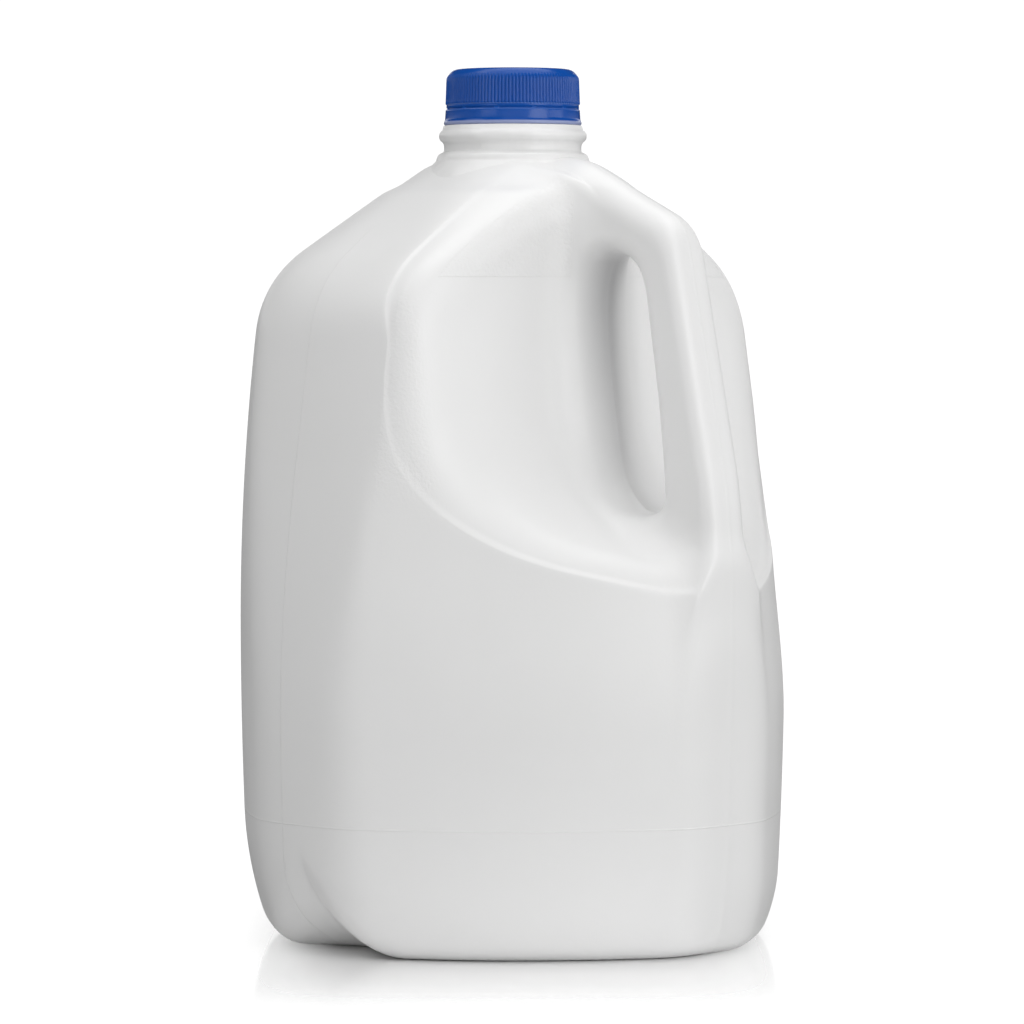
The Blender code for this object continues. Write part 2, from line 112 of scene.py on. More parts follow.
# Handle: a web across the parting plane, between its spine, crest and opening
HANDLE_HALF_WIDTH = 8.0
HANDLE_EDGE = 5.0
HANDLE_ROOT_X = 20.0
HANDLE_FOOT_LEVEL = 60.0
HANDLE_JOIN = 13.0           # fillet of the handle to the body
HULL_BLEND = 3.0             # the same along crest and spine
HULL_SLACK = 0.6             # how far the fillet may swell past them
SPINE_REACH = 88.0
SPINE_LEVEL = 127.9
SPINE_LEAN = 0.215
SPINE_BLEND = 14.0
SPINE_SINK_LEVEL = 106.0
SPINE_SINK = 0.3
CREST_LEVEL = 229.5          # height of the crest at CREST_X
CREST_X = 29.0
CREST_FALL = 0.455
CREST_TOP = 229.2            # the crest levels off here beside the collar
CREST_TOP_BLEND = 3.0
CREST_CROWN = 0.055          # the crest falls to both sides by this x y^2
CREST_CORNER = 6.0
OPENING_INNER = 68.4
OPENING_LEVEL = 138.9
OPENING_LEAN = 0.165
OPENING_BLEND = 30.0
OPENING_TOP = 202.4
OPENING_BOTTOM = 120.5
OPENING_CORNER = 14.0
OPENING_BACK = 4.0           # the opening's outline runs on into the body by this
OPENING_CENTRE = (53.0, 164.0)

# Foot: a flat standing face, its rounded edge, a notch in two corners and a push-up
FOOT_EDGE = 5.0
PLAIN_FOOT_EDGE = 9.0        # away from the handle
TAPER_LEVEL = 20.0           # below this the walls draw in by TAPER x depth^2
TAPER = 0.011
PLAIN_TAPER_LEVEL = 38.0     # the same away from the handle
PLAIN_TAPER = 0.0044
TAPER_CHANGE = 50.0          # half the distance over which one passes into the other
NOTCH_HEIGHT = 24.5
NOTCH_START = 55.0
NOTCH_END = 86.0
NOTCH_WIDTH = 42.0
NOTCH_CURVE = 1.6            # how the notch rises outwards
NOTCH_SPREAD = 0.6           # how it widens outwards
NOTCH_SHARPNESS = 1.8        # how it falls away to its sides
LEAST_OUT = 1.0e-4
PUSH_UP_RADIUS = 54.0
PUSH_UP_HEIGHT = 3.0
UNDERSIDE = 0.5              # what lies below this belongs to the standing face

# Shell of the jug: how finely its form is sampled
PAGES = 400
POINTS_ACROSS = 116
TRACE_POINTS = 600
TURN_SHARE = 0.35            # how far the points gather where a section bends
PAGE_CROWDING = 0.5          # how far the pages gather where the jug reaches far out
SURVEY_ANGLES = 4 * PAGES    # at which the jug's reach is first measured
SEARCH_REACH = 260.0
SEARCH_STEP = 1.0
BISECTIONS = 30
SETTLE_STEPS = 4
SETTLE_REACH = 0.01
LEAST_SLOPE = 0.05
RIDGE_HEIGHT = 0.16          # parting ridge on the mould line
RIDGE_HALF_WIDTH = 0.4
RIDGE_ENDS_LOW = (-87.17, -87.17, 0.0)     # the ridge is trimmed flush at the jug's extremes
RIDGE_ENDS_HIGH = (89.04, 87.17, 254.0)

# Neck: finish under the cap, its seat, transfer bead with soft lugs, waist and collar
NECK_STEPS = 288
FINISH_RADIUS = 18.0
FINISH_TOP = 250.0
FINISH_START = 0.5           # radius at which its top starts
SEAT_RADIUS = 20.6
SEAT_LEVEL = 239.8
SEAT_RISE = 0.5              # from the seat to the foot of the finish
SEAT_CORNER = 0.3            # reach of the rounded corners down to here
BEAD_LEVEL = 236.7
BEAD_REACH = 22.1
BEAD_RADIUS = 1.9
BEAD_TURN = 66.0             # degrees over which the bead turns up and down from its middle
BEAD_STEPS = 14
LUGS = 9
LUG_DEPTH = 0.22
LUG_FADE = 1.6               # height over which the lugs fade out to both sides
LUG_WAVES = 5.0              # a slower wave, which makes them unequal
LUG_WAVE_SHARE = 0.3
LUG_WAVE_START = 1.0
WAIST_RADIUS = 20.4
WAIST_TOP = 234.1
WAIST_FOOT = 232.1
COLLAR_RADIUS = 22.8
COLLAR_SHOULDER = 231.3
COLLAR_CHAMFER = 0.7
COLLAR_GROOVE = 230.3
COLLAR_GROOVE_DEPTH = 0.22
COLLAR_FOOT = 229.3
COLLAR_CORNER = 0.5
SKIRT = ((24.0, 228.2), (26.0, 226.1), (28.5, 223.4), (28.0, 222.0))   # radius, height

# Cap: recessed top and rounded edge
CAP_TOP = 256.5
CAP_POLE = 0.01              # radius of the rings in the middle of top and hollow
CAP_RECESS = 0.5
CAP_RECESS_RADIUS = 14.6
CAP_RECESS_SLOPE = 0.7
CAP_TOP_RADIUS = 19.35
CAP_TOP_CORNER = 0.3
CAP_EDGE = 3.1
CAP_EDGE_ARC = (84.0, 6.0)   # degrees
CAP_EDGE_STEPS = 12

# Its skirt and ribs
CAP_SKIRT_RADIUS = 19.6      # between the ribs
SKIRT_START = 0.6            # how far below the edge the skirt's rows start
SKIRT_END = 0.5              # and how far above the ribs' feet they end
SKIRT_ROWS = 7
RIBS = 118
STEPS_A_RIB = 10
RIB_HEIGHT = 0.36
RIB_WIDTH = 0.84             # share of the pitch that a rib takes up
RIB_TOP = 255.3
RIB_FADE = 1.8               # height over which the ribs rise out of the rounded edge
RIB_FOOT = 246.4
RIB_NOSE = (0.36, -0.45)     # the rows over their round noses, from RIB_FOOT
RIB_NOSE_ROWS = 10
RIB_DROP_LIMIT = 1.0         # no rib reaches further below RIB_FOOT than this
SHELF_LEVEL = 245.7          # the plain strip below the ribs
SHELF_FLARE = 0.05

# Its score line and the bridges across it
CAP_SCORE_LEVEL = 244.8
CAP_SCORE_DEPTH = 0.16
CAP_SCORE_HALF_HEIGHT = 0.28
SCORE_FLARE = 0.1
SCORE_CHAMFER = 0.06
BRIDGES = 11
BRIDGE_START = 0.31          # share of their pitch by which they are turned
BRIDGE_WIDTH = 0.05          # radians
BRIDGE_EASE = 0.4            # share of that width over which a bridge rises
BRIDGE_HEIGHT = 0.15         # over the radius between the ribs

# Its tear band, lip and hollow
CAP_BAND_RADIUS = 19.95
BAND_CHAMFER = 0.1
BAND_START = 0.8             # how far below the score line the band's flank starts
BAND_SWELL = 0.15
BAND_SWELL_LEVEL = 241.6
BAND_CORNER = 0.35
CAP_LIP_RADIUS = 20.5
CAP_LIP_LEVEL = 240.6
CAP_LIP_TUCK = 0.25
CAP_FOOT = 239.95
CAP_INNER = 18.7
CAP_INNER_CHAMFER = (0.5, 0.8)   # across and up
CAP_HOLLOW_TOP = 246.0
HOLLOW_POINTS = 14           # the profile's last points, which are inside the cap

PATH_CORNER_SHARE = 0.45     # a rounded corner takes up no more of a leg than this
PATH_CORNER_STEPS = 4


def smooth_max(first, second, blend):
    """The larger of two fields, rounded off where they differ by less than blend."""
    overlap = np.maximum(blend - np.abs(first - second), 0.0)
    return np.maximum(first, second) + overlap**2 / (4.0 * blend)


def smooth_min(first, second, blend):
    """The smaller of two fields, rounded off in the same way."""
    return -smooth_max(-first, -second, blend)


def ramp(distance, blend):
    """Zero below, the distance itself above, with a rounded start."""
    return smooth_max(distance, np.zeros_like(distance), blend)


def smooth_step(value):
    """Zero up to 0, one from 1 on, and 3 value^2 - 2 value^3 between them."""
    value = np.clip(value, 0.0, 1.0)
    return value * value * (3.0 - 2.0 * value)


def bevel_field(x, y, z):
    """Planes that cut the corner facet off beside the handle's foot.

    cos tilt x (cos azimuth x X + sin azimuth x |Y|) + sin tilt x Z = BEVEL_REACH
    """
    tilt, azimuth = math.radians(BEVEL_TILT), math.radians(BEVEL_AZIMUTH)
    outward = math.cos(azimuth) * x + math.sin(azimuth) * np.abs(y)
    return math.cos(tilt) * outward + math.sin(tilt) * z - BEVEL_REACH


def spine_x(z):
    """Reach of the handle's spine, which sinks into the corner facet at its foot."""
    spine = SPINE_REACH - SPINE_LEAN * ramp(z - SPINE_LEVEL, SPINE_BLEND)
    return spine - SPINE_SINK * ramp(SPINE_SINK_LEVEL - z, SPINE_BLEND)


def near_handle(x):
    """Share of the handle side's foot, from none at -X to all of it at +X."""
    return smooth_step(0.5 + 0.5 * x / TAPER_CHANGE)


def body_field(x, y, z):
    """Distance-like field of the plain body: walls, corner facets, roof and seat.

    It is the rounded largest of how far a point lies outside the bowed walls,
    outside the corner facets, above the roof, which is a pyramid over both, and
    above the seat of the neck.
    """
    across = np.abs(x + y) / math.sqrt(2.0)
    along = np.abs(x - y) / math.sqrt(2.0)
    wall = smooth_max(across + WALL_BOW * along**2, along + WALL_BOW * across**2, WALL_BLEND)
    beside_handle = smooth_step((x - EASE_X) / EASE_WIDTH)
    wall = wall + WALL_EASE * beside_handle * smooth_step((z - EASE_LEVEL) / EASE_HEIGHT)
    rise = z - WIDEST_LEVEL
    closing = rise**2 / np.where(rise > 0.0, WALL_CLOSING_ABOVE, WALL_CLOSING_BELOW)
    share = near_handle(x)
    taper_level = PLAIN_TAPER_LEVEL + (TAPER_LEVEL - PLAIN_TAPER_LEVEL) * share
    depth = np.clip(taper_level - z, 0.0, None)
    taper = (PLAIN_TAPER + (TAPER - PLAIN_TAPER) * share) * depth**2
    below = np.where(rise < 0.0, closing, 0.0) + taper
    corner_reach = CORNER_REACH - CORNER_LEAN * ramp(z - CORNER_LEAN_LEVEL, CORNER_LEAN_BLEND)
    facet_middle = np.minimum(np.abs(x), np.abs(y))
    plain_corner = np.maximum(-x, np.abs(y)) + CORNER_BOW * facet_middle**2
    plain_corner = plain_corner - (corner_reach - below)
    handle_corner = np.maximum(x - (HANDLE_CORNER_REACH - below), bevel_field(x, y, z))
    sides = smooth_max(wall - (WALL_REACH - closing - taper), plain_corner, FACET_BLEND)
    sides = smooth_max(sides, handle_corner, FACET_BLEND)
    corner = np.maximum(np.abs(x), np.abs(y)) + ROOF_CORNER_DROP
    reach = smooth_max(wall, corner, ROOF_BLEND)
    roof = (z - ROOF_LEVEL - (ROOF_REACH - reach) * ROOF_SLOPE) / math.hypot(1.0, ROOF_SLOPE)
    roof = roof + ROOF_STEP * smooth_step((ROOF_STEP_REACH - reach) / ROOF_STEP_WIDTH)
    shell = smooth_max(sides, roof, EAVE_BLEND)
    return smooth_max(shell, z - NECK_SEAT_LEVEL, NECK_SEAT_BLEND)


def grip_wall_x(z):
    """Where the body wall behind the handle stands on the parting plane.

    It is at GRIP_WALL, and further out by a rounded ramp below GRIP_WALL_LEVEL and
    above GRIP_TOP_LEVEL.
    """
    foot = GRIP_WALL_LEAN * ramp(GRIP_WALL_LEVEL - z, GRIP_WALL_BLEND)
    return GRIP_WALL + foot + GRIP_TOP_LEAN * ramp(z - GRIP_TOP_LEVEL, GRIP_WALL_BLEND)


def gripped_field(body, x, y, z):
    """The body's field with the grip cut from both sides of the handle corner.

    Within the rim, what lies both past the wall behind the handle and above the
    ledge is cut away, and so is a skin of MARGIN_STEP from the rest.
    """
    side = np.sqrt(y**2 + GRIP_NOSE**2) - GRIP_NOSE
    below_rim = (RIM_HEIGHT - RIM_FALL * x - z) / math.hypot(1.0, RIM_FALL)
    rim_x = RIM_X - RIM_LEAN * smooth_step((z - RIM_LEAN_LEVEL) / RIM_LEAN_HEIGHT)
    inside_rim = -smooth_max(rim_x - x, below_rim, RIM_CORNER)
    nose = NOSE_DEPTH * (1.0 - np.exp(-(y / NOSE_WIDTH) ** 2))
    past_wall = x - grip_wall_x(z) + GRIP_WALL_DRAFT * side + nose
    above_ledge = z - (LEDGE_HEIGHT - LEDGE_FALL_X * x - LEDGE_FALL_Y * side)
    above_ledge = above_ledge / math.hypot(1.0, LEDGE_FALL_X)
    widening = smooth_step(np.abs(y) / SIDE_FILLET_REACH)
    fillet = LEDGE_FILLET + (SIDE_LEDGE_FILLET - LEDGE_FILLET) * widening
    grip = smooth_min(past_wall, above_ledge, fillet)
    step = MARGIN_STEP * np.clip((MARGIN_FADE_LEVEL - z) / MARGIN_FADE, 0.0, 1.0)
    recess = smooth_max(body + step, grip, GRIP_EDGE_BLEND)
    return smooth_max(body, smooth_min(inside_rim, recess, MARGIN_BLEND), MARGIN_BLEND)


def opening_field(x, z):
    """Outline of the hand opening on the parting plane, negative inside it.

    It is the rounded larger of how far a point lies past the opening's sides and
    past its ends.
    """
    back = grip_wall_x(z) - OPENING_BACK
    inner = OPENING_INNER - OPENING_LEAN * ramp(z - OPENING_LEVEL, OPENING_BLEND)
    sides = np.maximum(back - x, x - inner)
    ends = np.maximum(z - OPENING_TOP, OPENING_BOTTOM - z)
    return smooth_max(sides, ends, OPENING_CORNER)


def handle_outline(x, y, z):
    """The handle's spine and crest, carried on across the parting plane.

    It is the rounded larger of how far a point lies past the spine and over the
    crest, within the part of the jug that the handle belongs to.
    """
    falling = CREST_LEVEL - CREST_FALL * (x - CREST_X)
    crest = smooth_min(falling, np.full_like(x, CREST_TOP), CREST_TOP_BLEND)
    crest = crest - CREST_CROWN * np.minimum(np.abs(y), HANDLE_HALF_WIDTH) ** 2
    past_spine = (x - spine_x(z)) / math.hypot(1.0, SPINE_LEAN)
    over_crest = (z - crest) / math.hypot(1.0, CREST_FALL)
    outline = smooth_max(past_spine, over_crest, CREST_CORNER)
    return np.maximum(outline, np.maximum(HANDLE_ROOT_X - x, HANDLE_FOOT_LEVEL - z))


def foot_level(x, y):
    """Height of the underside: flat, but arched up towards the two side corners.

    NOTCH_HEIGHT x out^NOTCH_CURVE x arch^NOTCH_SHARPNESS, where out grows from 0 at
    |Y| = NOTCH_START to 1 at NOTCH_END, and arch falls from 1 at X = 0 to 0 at the
    notch's edge, NOTCH_WIDTH x out^NOTCH_SPREAD away.
    """
    out = np.clip((np.abs(y) - NOTCH_START) / (NOTCH_END - NOTCH_START), LEAST_OUT, None)
    arch = np.clip(1.0 - np.abs(x) / (NOTCH_WIDTH * out**NOTCH_SPREAD), 0.0, None)
    return NOTCH_HEIGHT * out**NOTCH_CURVE * arch**NOTCH_SHARPNESS


def jug_field(x, y, z):
    """Negative inside the jug below its neck, positive outside, in millimetres.

    The handle is a web across the parting plane.  Its fillet to the body is held
    back to the hull of body and handle, so that it swells neither crest nor spine.
    """
    body = body_field(x, y, z)
    outline = handle_outline(x, y, z)
    web = np.maximum(outline, -opening_field(x, z))
    web = smooth_max(np.abs(y) - HANDLE_HALF_WIDTH, web, HANDLE_EDGE)
    joined = smooth_min(gripped_field(body, x, y, z), web, HANDLE_JOIN)
    hull = smooth_min(body, outline, HULL_BLEND)
    joined = smooth_max(joined, hull - HULL_SLACK, HULL_SLACK)
    edge = PLAIN_FOOT_EDGE + (FOOT_EDGE - PLAIN_FOOT_EDGE) * near_handle(x)
    return smooth_max(joined, foot_level(x, y) - z, edge)


def bisect(inside, outside, field):
    """Move two arrays of bounds, one inside and one outside, on to the surface."""
    for _ in range(BISECTIONS):
        middle = 0.5 * (inside + outside)
        solid = field(middle) < 0.0
        inside = np.where(solid, middle, inside)
        outside = np.where(solid, outside, middle)
    return 0.5 * (inside + outside)


def page_ends(cosines, sines, depth):
    """Distance from the opening's centre to the inner and outer edge on each page.

    A page is a half-plane through the line along Y at the opening's centre; the
    edges are looked for at the given distance from the parting plane.
    """
    centre_x, centre_z = OPENING_CENTRE

    def on_page(distance):
        x = centre_x + distance * cosines
        return jug_field(x, depth + 0.0 * x, centre_z + distance * sines)

    steps = np.arange(0.0, SEARCH_REACH + SEARCH_STEP, SEARCH_STEP)[:, None]
    solid = on_page(steps + 0.0 * cosines) < 0.0
    first = steps[np.argmax(solid, axis=0), 0]
    last = steps[len(steps) - 1 - np.argmax(solid[::-1], axis=0), 0]
    near = bisect(first, first - SEARCH_STEP, on_page)
    far = bisect(last, last + SEARCH_STEP, on_page)
    return near, far


def page_angles():
    """Angles of the pages, closer together where the jug's edge lies far out."""
    even = 2.0 * math.pi * np.arange(SURVEY_ANGLES + 1) / SURVEY_ANGLES
    _, far = page_ends(np.cos(even), np.sin(even), 0.0)
    middles = 0.5 * (far[1:] + far[:-1])
    turned = np.concatenate([[0.0], np.cumsum(middles**PAGE_CROWDING)])
    return np.interp(np.arange(PAGES) / PAGES, turned / turned[-1], even)


def field_slopes(x, y, z):
    """Slope of the jug's field along each axis, by central differences."""
    slopes = []
    for shift in np.eye(3) * SETTLE_REACH:
        ahead = jug_field(x + shift[0], y + shift[1], z + shift[2])
        behind = jug_field(x - shift[0], y - shift[1], z - shift[2])
        slopes.append((ahead - behind) / (2.0 * SETTLE_REACH))
    return slopes


def settle(points):
    """Move points on to the surface along the steepest way through the field."""
    x, y, z = points[..., 0], points[..., 1], points[..., 2]
    for _ in range(SETTLE_STEPS):
        slopes = field_slopes(x, y, z)
        move = jug_field(x, y, z) / np.maximum(sum(slope**2 for slope in slopes), LEAST_SLOPE)
        x, y, z = (place - move * slope for place, slope in zip((x, y, z), slopes))
    return np.stack([x, y, z], axis=-1)


def shares(amounts):
    """Running total of each column, from zero to one."""
    total = np.vstack([np.zeros(amounts.shape[1]), np.cumsum(amounts, axis=0)])
    return total / total[-1]


def half_sections(angles, sign):
    """Points of every section on one side of the parting plane.

    A section is (distance from the opening's centre, depth from the parting
    plane).  The depth at each distance is where the field is zero.  The points
    are spread by the section's length plus its bending and then settled.  The
    outermost two at each end carry the parting ridge.
    """
    cosines, sines = np.cos(angles), np.sin(angles)
    near, far = page_ends(cosines, sines, 0.0)
    beside_near, beside_far = page_ends(cosines, sines, sign * RIDGE_HALF_WIDTH)
    spread = 0.5 - 0.5 * np.cos(math.pi * np.linspace(0.0, 1.0, TRACE_POINTS))[:, None]
    distance = near + (far - near) * spread
    x = OPENING_CENTRE[0] + distance * cosines
    z = OPENING_CENTRE[1] + distance * sines
    reach = np.full_like(x, 2.0 * CORNER_REACH)
    depth = bisect(0.0 * x, reach, lambda y: jug_field(x, sign * y, z))
    depth[0] = 0.0
    depth[-1] = 0.0
    run, rise = np.diff(distance, axis=0), np.diff(depth, axis=0)
    bend = np.abs(np.diff(np.arctan2(rise, run), axis=0, append=0.5 * math.pi))
    bend[-1] = 0.0
    travelled = shares(np.hypot(run, rise)) + TURN_SHARE * shares(bend)
    travelled /= travelled[-1]
    wanted = np.linspace(0.0, 1.0, POINTS_ACROSS)
    points = np.empty((len(angles), POINTS_ACROSS, 3))
    for page in range(len(angles)):
        along = travelled[:, page]
        points[page, :, 0] = np.interp(wanted, along, x[:, page])
        points[page, :, 1] = sign * np.interp(wanted, along, depth[:, page])
        points[page, :, 2] = np.interp(wanted, along, z[:, page])
    points[:, 1:-1] = settle(points[:, 1:-1])
    ridge = sign * RIDGE_HALF_WIDTH
    points[:, 0] = page_points(near - RIDGE_HEIGHT, cosines, sines, 0.0)
    points[:, 1] = page_points(beside_near, cosines, sines, ridge)
    points[:, -2] = page_points(beside_far, cosines, sines, ridge)
    points[:, -1] = page_points(far + RIDGE_HEIGHT, cosines, sines, 0.0)
    return np.clip(points, RIDGE_ENDS_LOW, RIDGE_ENDS_HIGH)


def page_points(distance, cosines, sines, depth):
    """One point on each page, at a distance from the opening's centre and a depth."""
    x = OPENING_CENTRE[0] + distance * cosines
    z = OPENING_CENTRE[1] + distance * sines
    return np.stack([x, np.full_like(x, depth), z], axis=-1)


def grid_quads(rows, columns, close_rows, close_columns):
    """Corners of the quads of a rows x columns grid, joined round where it closes."""
    row = np.arange(rows if close_rows else rows - 1)[:, None]
    column = np.arange(columns if close_columns else columns - 1)[None, :]
    next_row, next_column = (row + 1) % rows, (column + 1) % columns
    corners = [row * columns + column, row * columns + next_column,
               next_row * columns + next_column, next_row * columns + column]
    return np.stack(np.broadcast_arrays(*corners), axis=-1).reshape(-1, 4)


def shell(name, points, faces, material, flip=False):
    """A smooth-shaded piece from points in millimetres and the corners of its faces.

    flip turns the faces over, where their corners run clockwise from outside.
    """
    mesh = bpy.data.meshes.new(name)
    faces = faces[:, ::-1] if flip else faces
    mesh.from_pydata((points.reshape(-1, 3) * MM).tolist(), [], faces.tolist())
    mesh.update()
    mesh.shade_smooth()
    mesh.materials.append(material)
    obj = bpy.data.objects.new(name, mesh)
    bpy.context.scene.collection.objects.link(obj)
    return obj


def push_up(points):
    """Lift the underside by PUSH_UP_HEIGHT x (1 - (radius / PUSH_UP_RADIUS)^2)."""
    radius = np.hypot(points[..., 0], points[..., 1]) / PUSH_UP_RADIUS
    lift = PUSH_UP_HEIGHT * np.clip(1.0 - radius**2, 0.0, None)
    points[..., 2] += np.where(points[..., 2] < UNDERSIDE, lift, 0.0)


def make_body(material):
    """Closed shell of the jug: out along one side of each section, back along the other."""
    angles = page_angles()
    near_side = half_sections(angles, -1.0)
    far_side = half_sections(angles, 1.0)
    rings = np.concatenate([near_side, far_side[:, -2:0:-1]], axis=1)
    push_up(rings)
    faces = grid_quads(rings.shape[0], rings.shape[1], True, True)
    return shell("jug_body", rings, faces, material)


def revolved(name, radius, height, angles, material):
    """A turned piece: radius[row, angle] at height[row], from its top down."""
    x, y = radius * np.cos(angles), radius * np.sin(angles)
    points = np.stack([x, y, height + 0.0 * x], axis=-1)
    faces = grid_quads(points.shape[0], points.shape[1], False, True)
    return shell(name, points, faces, material, flip=True)


def arc(centre, radius, start, end, steps):
    """Points of a circular arc, its angles in degrees from +X."""
    turn = np.radians(np.linspace(start, end, steps + 1))
    return list(zip(centre[0] + radius * np.cos(turn), centre[1] + radius * np.sin(turn)))


def smooth_path(corners, reach):
    """Round each inner corner of a path of (radius, height) by a parabola.

    The parabola starts and ends at the given reach from its corner, or at
    PATH_CORNER_SHARE of a shorter leg.
    """
    path = [corners[0]]
    share = np.linspace(0.0, 1.0, PATH_CORNER_STEPS + 1)[:, None]
    for before, corner, after in zip(corners, corners[1:], corners[2:]):
        before, corner, after = np.array(before), np.array(corner), np.array(after)
        back, on = before - corner, after - corner
        start = corner + back * min(reach / np.linalg.norm(back), PATH_CORNER_SHARE)
        end = corner + on * min(reach / np.linalg.norm(on), PATH_CORNER_SHARE)
        curve = start * (1 - share) ** 2 + 2 * corner * share * (1 - share) + end * share**2
        path += [tuple(point) for point in curve]
    return path + [corners[-1]]


def make_neck(material):
    """Neck turned from its profile; the bead is softly scalloped by its lugs."""
    bead_centre = (BEAD_REACH - BEAD_RADIUS, BEAD_LEVEL)
    bead = arc(bead_centre, BEAD_RADIUS, BEAD_TURN, -BEAD_TURN, BEAD_STEPS)
    upper = [(FINISH_START, FINISH_TOP), (FINISH_RADIUS, FINISH_TOP),
             (FINISH_RADIUS, SEAT_LEVEL + SEAT_RISE), (SEAT_RADIUS, SEAT_LEVEL)]
    waist = [(WAIST_RADIUS, WAIST_TOP), (WAIST_RADIUS, WAIST_FOOT)]
    collar = [(COLLAR_RADIUS - COLLAR_CHAMFER, COLLAR_SHOULDER),
              (COLLAR_RADIUS - COLLAR_GROOVE_DEPTH, COLLAR_GROOVE),
              (COLLAR_RADIUS, COLLAR_FOOT), *SKIRT]
    path = smooth_path(upper + bead[:1], SEAT_CORNER) + bead[1:-1]
    path = np.array(path + smooth_path(bead[-1:] + waist + collar, COLLAR_CORNER))
    angles = 2.0 * math.pi * np.arange(NECK_STEPS) / NECK_STEPS
    on_bead = np.exp(-((path[:, 1] - BEAD_LEVEL) / LUG_FADE) ** 2)
    on_bead = on_bead * (path[:, 0] > WAIST_RADIUS)
    wave = LUG_WAVE_SHARE * np.sin(LUG_WAVES * angles + LUG_WAVE_START) ** 2
    lugs = 0.5 - 0.5 * np.cos(LUGS * angles) + wave
    radius = path[:, :1] - LUG_DEPTH * on_bead[:, None] * lugs[None, :]
    return revolved("jug_neck", radius, path[:, 1:], angles, material)


def cap_path():
    """Profile of the cap between its ribs, as (radius, height), from its top's middle.

    It runs over the top, the rounded edge and the skirt, into the score line and
    over the tear band, and then round the lip into the hollow.
    """
    recess = CAP_TOP - CAP_RECESS
    edge_foot = CAP_TOP - CAP_EDGE
    edge_start = CAP_TOP_RADIUS - CAP_EDGE
    top = [(CAP_POLE, recess), (CAP_RECESS_RADIUS, recess),
           (CAP_RECESS_RADIUS + CAP_RECESS_SLOPE, CAP_TOP), (edge_start, CAP_TOP)]
    edge = arc((edge_start, edge_foot), CAP_EDGE, *CAP_EDGE_ARC, CAP_EDGE_STEPS)
    lean = (CAP_SKIRT_RADIUS - CAP_TOP_RADIUS) / (edge_foot - RIB_FOOT)
    levels = np.linspace(edge_foot - SKIRT_START, RIB_FOOT + SKIRT_END, SKIRT_ROWS)
    skirt = [(CAP_TOP_RADIUS + lean * (edge_foot - level), level) for level in levels]
    nose_levels = np.linspace(RIB_FOOT + RIB_NOSE[0], RIB_FOOT + RIB_NOSE[1], RIB_NOSE_ROWS)
    noses = [(CAP_SKIRT_RADIUS, level) for level in nose_levels]
    shelf = [(CAP_SKIRT_RADIUS + SHELF_FLARE, SHELF_LEVEL)]
    score_top = CAP_SCORE_LEVEL + CAP_SCORE_HALF_HEIGHT
    score_foot = CAP_SCORE_LEVEL - CAP_SCORE_HALF_HEIGHT
    score_radius = CAP_SKIRT_RADIUS - CAP_SCORE_DEPTH
    score = [(CAP_SKIRT_RADIUS + SCORE_FLARE, score_top + SCORE_CHAMFER),
             (CAP_SKIRT_RADIUS + SHELF_FLARE, score_top),
             (score_radius, CAP_SCORE_LEVEL + 0.5 * CAP_SCORE_HALF_HEIGHT),
             (score_radius, CAP_SCORE_LEVEL - 0.5 * CAP_SCORE_HALF_HEIGHT),
             (CAP_BAND_RADIUS - BAND_CHAMFER, score_foot),
             (CAP_BAND_RADIUS, score_foot - BAND_CHAMFER)]
    chamfer, chamfer_height = CAP_INNER_CHAMFER
    band = [(CAP_BAND_RADIUS, CAP_SCORE_LEVEL - BAND_START),
            (CAP_BAND_RADIUS + BAND_SWELL, BAND_SWELL_LEVEL), (CAP_LIP_RADIUS, CAP_LIP_LEVEL),
            (CAP_LIP_RADIUS - CAP_LIP_TUCK, CAP_FOOT), (CAP_INNER + chamfer, CAP_FOOT),
            (CAP_INNER, CAP_FOOT + chamfer_height), (CAP_INNER, CAP_HOLLOW_TOP),
            (CAP_POLE, CAP_HOLLOW_TOP)]
    outside = smooth_path(top, CAP_TOP_CORNER) + edge + skirt + noses + shelf + score
    return np.array(outside + smooth_path(band, BAND_CORNER))


def rib_relief(angles, heights):
    """Height of the ribs over the skirt: RIB_HEIGHT x the square root of 1 - distance^2.

    The distance is measured across the rib from its middle, and past RIB_FOOT
    also down from there, so that each rib ends in a round nose.
    """
    pitch = 2.0 * math.pi * CAP_SKIRT_RADIUS / RIBS
    turn = (angles * RIBS / (2.0 * math.pi)) % 1.0 - 0.5
    across = turn[None, :] / (0.5 * RIB_WIDTH)
    past_foot = np.clip(RIB_FOOT - heights, 0.0, None) / (0.5 * RIB_WIDTH * pitch)
    relief = np.sqrt(np.clip(1.0 - across**2 - past_foot[:, None] ** 2, 0.0, None))
    fade = smooth_step((RIB_TOP - heights) / RIB_FADE) * (heights > RIB_FOOT - RIB_DROP_LIMIT)
    return RIB_HEIGHT * relief * fade[:, None]


def make_cap(material):
    """Cap turned from its profile, its skirt ribbed and its score line bridged.

    A bridge fills the score line up where its distance, in radians round the cap
    from the nearest bridge's middle, is less than BRIDGE_WIDTH.
    """
    path = cap_path()
    steps = RIBS * STEPS_A_RIB
    angles = 2.0 * math.pi * np.arange(steps) / steps
    outside = np.arange(len(path)) < len(path) - HOLLOW_POINTS
    relief = rib_relief(angles, path[:, 1]) * outside[:, None]
    turn = (angles * BRIDGES / (2.0 * math.pi) + BRIDGE_START) % 1.0 - 0.5
    distance = np.abs(turn) * 2.0 * math.pi / BRIDGES
    bridge = smooth_step((BRIDGE_WIDTH - distance) / (BRIDGE_EASE * BRIDGE_WIDTH))
    in_score = np.abs(path[:, 1] - CAP_SCORE_LEVEL) < CAP_SCORE_HALF_HEIGHT
    filled = np.where(in_score, CAP_SKIRT_RADIUS + BRIDGE_HEIGHT - path[:, 0], 0.0) * outside
    radius = path[:, :1] + relief + filled[:, None] * bridge[None, :]
    return revolved("cap_shell", radius, path[:, 1:], angles, material)


